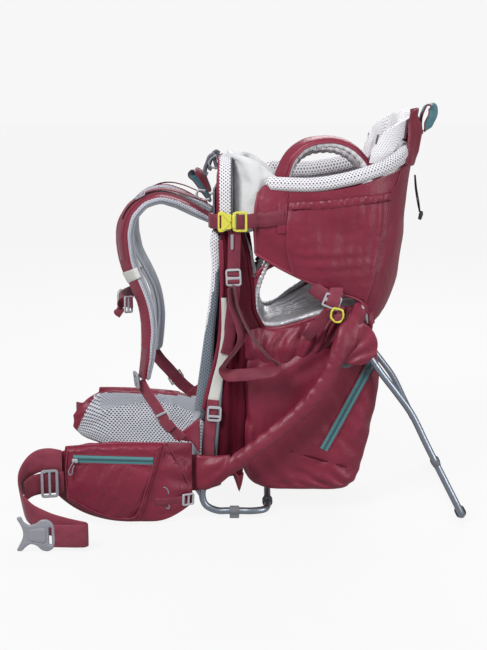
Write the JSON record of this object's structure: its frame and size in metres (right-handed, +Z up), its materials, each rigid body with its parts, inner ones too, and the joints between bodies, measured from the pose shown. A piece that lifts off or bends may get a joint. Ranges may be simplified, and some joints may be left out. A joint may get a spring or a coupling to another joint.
{
  "type": "child carrier backpack",
  "caption": "Framed carrier backpack for a child: padded seat with side supports, storage bag, folding rear kickstand, shoulder straps and flared hip belt.",
  "frame": {"origin": "on the ground at mid-width, at the centre of the footprint's bounding box, with the kickstand open and the hip belt swung out", "axes": "+Z up; +X behind the wearer, towards the child and the kickstand; -X the way the wearer faces; -Y the wearer's left, +Y the wearer's right"},
  "size_m": [0.7659, 0.6105, 0.715],
  "materials": {
    "tube": "satin anodised tube, brushed along its length",
    "maroon_fabric": "plain-weave nylon, slight sheen",
    "grey_mesh": "padded spacer mesh",
    "white_mesh": "padded spacer mesh",
    "fleece": "soft brushed lining",
    "silver_lining": "smooth coated lining",
    "webbing": "woven webbing",
    "grey_plastic": "moulded, lightly textured",
    "black_plastic": "matt rubber",
    "yellow_plastic": "moulded"
  },
  "bodies": {
    "frame": {"seat_frame_tube": "tube", "back_frame_tube": "tube", "frame_junction_left": "grey_plastic", "frame_junction_right": "grey_plastic", "hinge_housing_left": "grey_plastic", "hinge_housing_right": "grey_plastic", "kickstand_pin_left": "tube", "kickstand_pin_right": "tube", "base_foot_left": "black_plastic", "base_foot_right": "black_plastic", "base_ring_left": "black_plastic", "base_ring_right": "black_plastic", "seat_bucket": "maroon_fabric", "seat_rim_pad": "white_mesh", "seat_base": "silver_lining", "child_harness_left": "maroon_fabric", "child_harness_right": "maroon_fabric", "chin_pad": "fleece", "front_pad": "white_mesh", "back_panel": "maroon_fabric", "back_pad": "grey_mesh", "lumbar_pad": "grey_mesh", "storage_bag": "maroon_fabric", "frame_sleeve_left": "maroon_fabric", "frame_sleeve_right": "maroon_fabric", "side_strap_left": "webbing", "side_strap_right": "webbing", "shoulder_webbing_left": "webbing", "shoulder_webbing_right": "webbing", "entry_buckle_female": "yellow_plastic"},
    "kickstand": {"kickstand_tube": "tube", "kickstand_ring_left": "black_plastic", "kickstand_ring_right": "black_plastic"},
    "hip_left": {"hip_wing_left": "maroon_fabric", "hip_pocket_left": "maroon_fabric", "hip_webbing_left": "webbing", "hip_buckle_male": "grey_plastic"},
    "hip_right": {"hip_wing_right": "maroon_fabric", "hip_pocket_right": "maroon_fabric", "hip_webbing_right": "webbing", "hip_buckle_female": "grey_plastic"},
    "harness": {"shoulder_yoke": "grey_plastic", "shoulder_strap_left": "maroon_fabric", "shoulder_strap_right": "maroon_fabric", "load_lifter_left": "webbing", "load_lifter_right": "webbing"},
    "adjuster_left": {"strap_adjuster_left": "grey_plastic"},
    "adjuster_right": {"strap_adjuster_right": "grey_plastic"},
    "sternum": {"sternum_strap": "webbing"},
    "head": {"headrest": "white_mesh"},
    "front_grip": {"front_handle": "webbing"},
    "rear_grip": {"rear_handle": "webbing"},
    "cord": {"headrest_cord": "black_plastic"},
    "entry_male": {"entry_buckle_male": "yellow_plastic"},
    "stirrup_left": {"foot_stirrup_left": "webbing"},
    "stirrup_right": {"foot_stirrup_right": "webbing"},
    "hip_zip_left": {"hip_zip_slider_left": "grey_plastic"},
    "hip_zip_right": {"hip_zip_slider_right": "grey_plastic"},
    "bag_zip_left": {"bag_zip_slider_left": "grey_plastic"},
    "bag_zip_right": {"bag_zip_slider_right": "grey_plastic"}
  },
  "joints": [
    {"name": "kickstand_fold", "type": "hinge", "parent": "frame", "child": "kickstand", "pos_m": [0.2, 0, 0.298], "axis": [0, 1, 0], "range_deg": [0, 55]},
    {"name": "hip_wing_left_swing", "type": "hinge", "parent": "frame", "child": "hip_left", "pos_m": [-0.095, -0.15, 0.08], "axis": [0, 0, 1], "range_deg": [-30, 20]},
    {"name": "hip_wing_right_swing", "type": "hinge", "parent": "frame", "child": "hip_right", "pos_m": [-0.095, 0.15, 0.08], "axis": [0, 0, 1], "range_deg": [-20, 30]},
    {"name": "back_length_slide", "type": "slide", "parent": "frame", "child": "harness", "axis": [0, 0, 1], "range_m": [-0.015, 0.03]},
    {"name": "strap_adjuster_left_tilt", "type": "hinge", "parent": "harness", "child": "adjuster_left", "pos_m": [-0.1955, -0.122, 0.2545], "axis": [-0.2872, 0.9574, -0.0287], "range_deg": [0, 35]},
    {"name": "strap_adjuster_right_tilt", "type": "hinge", "parent": "harness", "child": "adjuster_right", "pos_m": [-0.1955, 0.122, 0.2545], "axis": [0.2872, 0.9574, 0.0287], "range_deg": [0, 35]},
    {"name": "sternum_strap_slide", "type": "slide", "parent": "harness", "child": "sternum", "axis": [-0.2501, 0, 0.9682], "range_m": [-0.03, 0.03]},
    {"name": "headrest_slide", "type": "slide", "parent": "frame", "child": "head", "axis": [0.2, 0, 0.9798], "range_m": [0, 0.05]},
    {"name": "front_handle_flop", "type": "hinge", "parent": "frame", "child": "front_grip", "pos_m": [-0.069, 0, 0.536], "axis": [0, 1, 0], "range_deg": [-30, 10]},
    {"name": "rear_handle_flop", "type": "hinge", "parent": "frame", "child": "rear_grip", "pos_m": [0.304, 0, 0.668], "axis": [0, 1, 0], "range_deg": [-25, 30]},
    {"name": "headrest_cord_swing", "type": "hinge", "parent": "frame", "child": "cord", "pos_m": [0.294, 0, 0.588], "axis": [0, 1, 0], "range_deg": [-40, 12]},
    {"name": "entry_buckle_slide", "type": "slide", "parent": "frame", "child": "entry_male", "axis": [1, 0, 0], "range_m": [0, 0.03]},
    {"name": "stirrup_left_swing", "type": "hinge", "parent": "frame", "child": "stirrup_left", "pos_m": [-0.026, -0.146, 0.415], "axis": [0, 1, 0], "range_deg": [-20, 20]},
    {"name": "stirrup_right_swing", "type": "hinge", "parent": "frame", "child": "stirrup_right", "pos_m": [-0.026, 0.146, 0.415], "axis": [0, 1, 0], "range_deg": [-20, 20]},
    {"name": "hip_zip_left_slide", "type": "slide", "parent": "hip_left", "child": "hip_zip_left", "axis": [0.9843, 0.1601, -0.074], "range_m": [0, 0.115]},
    {"name": "hip_zip_right_slide", "type": "slide", "parent": "hip_right", "child": "hip_zip_right", "axis": [0.9843, -0.1601, -0.074], "range_m": [0, 0.115]},
    {"name": "bag_zip_left_slide", "type": "slide", "parent": "frame", "child": "bag_zip_left", "axis": [-0.4616, 0, -0.8871], "range_m": [0, 0.16]},
    {"name": "bag_zip_right_slide", "type": "slide", "parent": "frame", "child": "bag_zip_right", "axis": [-0.4616, 0, -0.8871], "range_m": [0, 0.16]}
  ]
}
